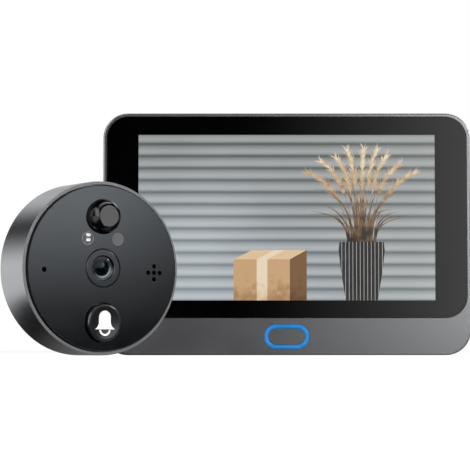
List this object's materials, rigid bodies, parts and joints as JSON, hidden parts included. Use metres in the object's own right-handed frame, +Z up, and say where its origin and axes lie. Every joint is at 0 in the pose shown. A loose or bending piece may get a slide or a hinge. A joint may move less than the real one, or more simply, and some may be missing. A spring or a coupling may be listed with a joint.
{
  "type": "peephole door camera",
  "caption": "Door viewer set: a flat indoor screen unit with a lit button and a wall bracket, and a round outdoor camera with a bell button and a hollow fixing stud.",
  "frame": {"origin": "middle of the face that the monitor stands on", "axes": "+Z up, +X to the right of a person who looks at the screen, the screen faces -Y"},
  "size_m": [0.1465, 0.0625, 0.0774],
  "materials": {
    "case_grey": "satin metallic paint",
    "cover_black": "fine moulded grain",
    "screen_glass": "clear pane, black printed border",
    "screen_picture": "lit picture",
    "ring_blue": "lit translucent",
    "part_black": "moulded",
    "board_green": "solder mask",
    "steel": "plain",
    "bracket_steel": "black powder coat",
    "battery_foil": "foil pouch",
    "connector_cream": "moulded",
    "housing_alloy": "satin gunmetal",
    "panel_grey": "satin",
    "dome_black": "polished",
    "lens_glass": "coated",
    "sensor_dark": "polished",
    "window_clear": "clear",
    "window_grey": "translucent",
    "lamp_white": "clear resin",
    "button_dark": "satin",
    "sign_white": "satin",
    "stud_brass": "turned",
    "gasket_foam": "closed-cell foam"
  },
  "bodies": {
    "monitor": {"front_frame": "case_grey", "cover_glass": "screen_glass", "glass_adhesive": "part_black", "display_panel": "screen_picture", "display_backlight": "steel", "button_light_ring": "ring_blue", "home_switch": "part_black", "button_board": "board_green", "main_board": "board_green", "processor_shield": "steel", "wireless_module": "board_green", "battery_pack": "battery_foil", "battery_pad": "part_black", "chime_speaker": "part_black", "monitor_microphone": "steel", "charge_socket": "steel", "card_slot": "steel", "power_switch_base": "part_black", "ribbon_socket": "connector_cream", "rear_cover": "cover_black", "case_screws": "steel", "board_screws": "steel"},
    "home_button": {"home_button": "case_grey"},
    "power_switch": {"power_slider": "cover_black"},
    "bracket": {"door_bracket": "bracket_steel"},
    "camera": {"camera_housing": "housing_alloy", "front_panel": "panel_grey", "motion_lens": "dome_black", "motion_sensor": "steel", "lens_bezel": "panel_grey", "lens_holder": "part_black", "lens_barrel": "part_black", "lens_glass": "lens_glass", "image_sensor": "sensor_dark", "lamp_window": "window_clear", "lamp_led": "lamp_white", "sensor_window": "window_grey", "light_sensor": "sensor_dark", "bell_switch": "part_black", "camera_microphone": "steel", "camera_speaker": "part_black", "speaker_mesh": "steel", "camera_board": "board_green", "cable_connector": "connector_cream", "camera_board_screws": "steel", "rear_plate": "cover_black", "rear_plate_screws": "steel", "fixing_stud": "stud_brass", "stud_nut": "steel", "rear_gasket": "gasket_foam"},
    "bell_button": {"bell_button": "button_dark", "bell_symbol": "sign_white"}
  },
  "joints": [
    {"name": "home_button_press", "type": "slide", "parent": "monitor", "child": "home_button", "axis": [0, 1, 0], "range_m": [0, 0.0005], "stiffness_N_per_m": 1500, "springref_m": -0.0003},
    {"name": "power_switch_slide", "type": "slide", "parent": "monitor", "child": "power_switch", "axis": [0, 0, 1], "range_m": [0, 0.0025]},
    {"name": "bracket_unhook", "type": "slide", "parent": "monitor", "child": "bracket", "axis": [0, 0, -1], "range_m": [0, 0.0042]},
    {"name": "camera_set_aside", "type": "slide", "parent": "monitor", "child": "camera", "axis": [-1, 0, 0], "range_m": [0, 0.08]},
    {"name": "bell_button_press", "type": "slide", "parent": "camera", "child": "bell_button", "axis": [-0.5225, 0.8526, 0], "range_m": [0, 0.0006], "stiffness_N_per_m": 1500, "springref_m": -0.0003}
  ]
}
